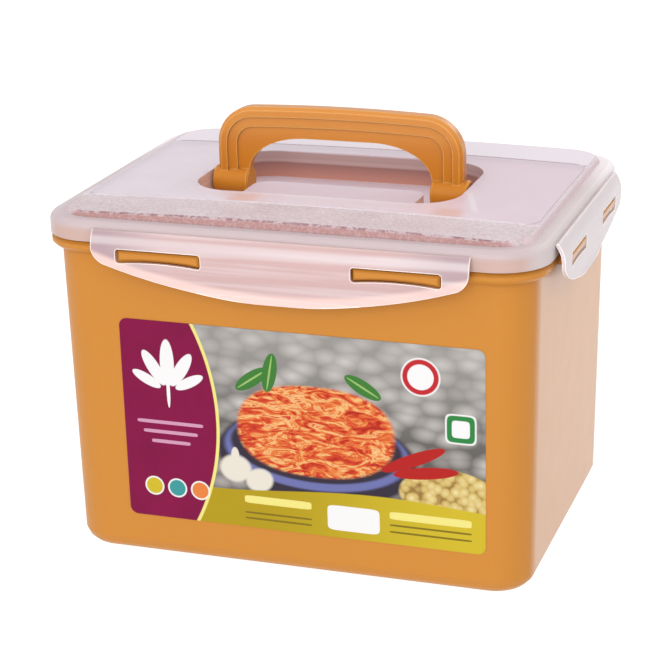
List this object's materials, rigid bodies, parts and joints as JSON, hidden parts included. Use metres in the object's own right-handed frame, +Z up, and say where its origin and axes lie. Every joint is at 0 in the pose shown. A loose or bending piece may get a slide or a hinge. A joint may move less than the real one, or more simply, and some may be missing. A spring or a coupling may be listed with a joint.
{
  "type": "kimchi container",
  "caption": "Deep rounded rectangular food keeper with a clip-on lid, hinged lock flaps, a fold-down carry handle in a lid pocket and a sliding press tray inside.",
  "frame": {"origin": "on the floor under the middle of the tub", "axes": "+X along the long side, +Z up; the labelled front faces -Y"},
  "size_m": [0.2558, 0.1988, 0.2106],
  "materials": {
    "tub_plastic": "satin moulded polypropylene, mustard orange",
    "handle_plastic": "satin moulded polypropylene, mustard orange",
    "lid_plastic": "natural translucent polypropylene, smooth panel with a frosted border",
    "tray_plastic": "natural translucent polypropylene",
    "gasket_rubber": "soft translucent silicone",
    "label_film": "glossy printed film"
  },
  "bodies": {
    "container": {"tub": "tub_plastic", "lid": "lid_plastic", "lid_gasket": "gasket_rubber", "front_label": "label_film"},
    "carry_handle": {"carry_handle": "handle_plastic"},
    "flap_front": {"lock_flap_front": "lid_plastic"},
    "flap_right": {"lock_flap_right": "lid_plastic"},
    "flap_back": {"lock_flap_back": "lid_plastic"},
    "flap_left": {"lock_flap_left": "lid_plastic"},
    "press_tray": {"press_tray": "tray_plastic"},
    "press_loop_right": {"press_loop_right": "handle_plastic"},
    "press_loop_left": {"press_loop_left": "handle_plastic"}
  },
  "joints": [
    {"name": "handle_fold", "type": "hinge", "parent": "container", "child": "carry_handle", "pos_m": [0, 0, 0.1709], "axis": [-1, 0, 0], "range_deg": [0, 90]},
    {"name": "flap_front_swing", "type": "hinge", "parent": "container", "child": "flap_front", "pos_m": [0, -0.0957, 0.1686], "axis": [-1, 0, 0], "range_deg": [0, 120]},
    {"name": "flap_back_swing", "type": "hinge", "parent": "container", "child": "flap_back", "pos_m": [0, 0.0957, 0.1686], "axis": [1, 0, 0], "range_deg": [0, 120]},
    {"name": "flap_right_swing", "type": "hinge", "parent": "container", "child": "flap_right", "pos_m": [0.12415, 0, 0.1686], "axis": [0, -1, 0], "range_deg": [0, 120]},
    {"name": "flap_left_swing", "type": "hinge", "parent": "container", "child": "flap_left", "pos_m": [-0.12415, 0, 0.1686], "axis": [0, 1, 0], "range_deg": [0, 120]},
    {"name": "tray_slide", "type": "slide", "parent": "container", "child": "press_tray", "axis": [0, 0, 1], "range_m": [0, 0.115]},
    {"name": "loop_right_fold", "type": "hinge", "parent": "press_tray", "child": "press_loop_right", "pos_m": [0.08854, 0, 0.0117], "axis": [0, 1, 0], "range_deg": [0, 90]},
    {"name": "loop_left_fold", "type": "hinge", "parent": "press_tray", "child": "press_loop_left", "pos_m": [-0.08854, 0, 0.0117], "axis": [0, -1, 0], "range_deg": [0, 90]}
  ]
}
